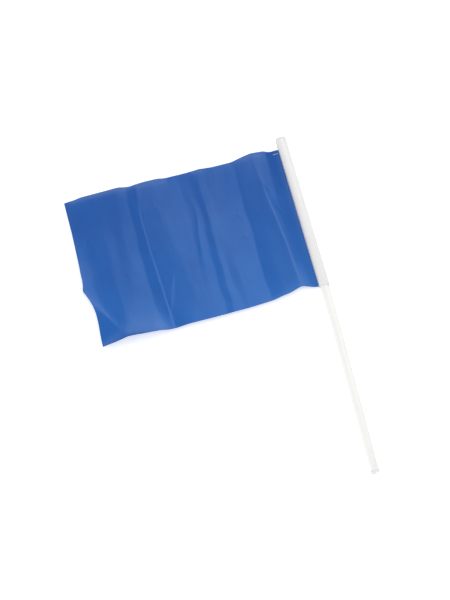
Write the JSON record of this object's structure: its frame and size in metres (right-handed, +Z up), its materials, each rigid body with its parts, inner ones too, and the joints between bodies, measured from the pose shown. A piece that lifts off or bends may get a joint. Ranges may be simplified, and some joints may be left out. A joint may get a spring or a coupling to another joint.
{
  "type": "hand-waving flag",
  "caption": "Rectangular plastic-film hand flag on a hollow white stick, held in a slotted cover tube that turns on the stick, with a domed cap and a foot plug.",
  "frame": {"origin": "middle of the part's footprint, on the surface that the flag lies on", "axes": "+Y along the pole towards the domed cap, +Z up from the surface, so the film spreads towards -X"},
  "size_m": [0.3116, 0.4802, 0.0144],
  "materials": {
    "stick_plastic": "satin",
    "plug_plastic": "satin",
    "cover_plastic": "satin",
    "cap_plastic": "satin",
    "flag_film": "satin",
    "staple_steel": "satin"
  },
  "bodies": {
    "stick": {"stick_tube": "stick_plastic"},
    "flag_sleeve": {"cover_tube": "cover_plastic", "flag_film": "flag_film", "staple": "staple_steel"},
    "cap": {"top_cap": "cap_plastic"},
    "plug": {"bottom_plug": "plug_plastic"}
  },
  "joints": [
    {"name": "flag_swivel", "type": "hinge", "parent": "stick", "child": "flag_sleeve", "pos_m": [0.14857, 0.12863, 0.0072], "axis": [0, 1, 0], "continuous": true},
    {"name": "cap_pull", "type": "slide", "parent": "stick", "child": "cap", "axis": [0, 1, 0], "range_m": [0, 0.014]},
    {"name": "plug_pull", "type": "slide", "parent": "stick", "child": "plug", "axis": [-0.0284, -0.9996, -0.0048], "range_m": [0, 0.014]}
  ]
}
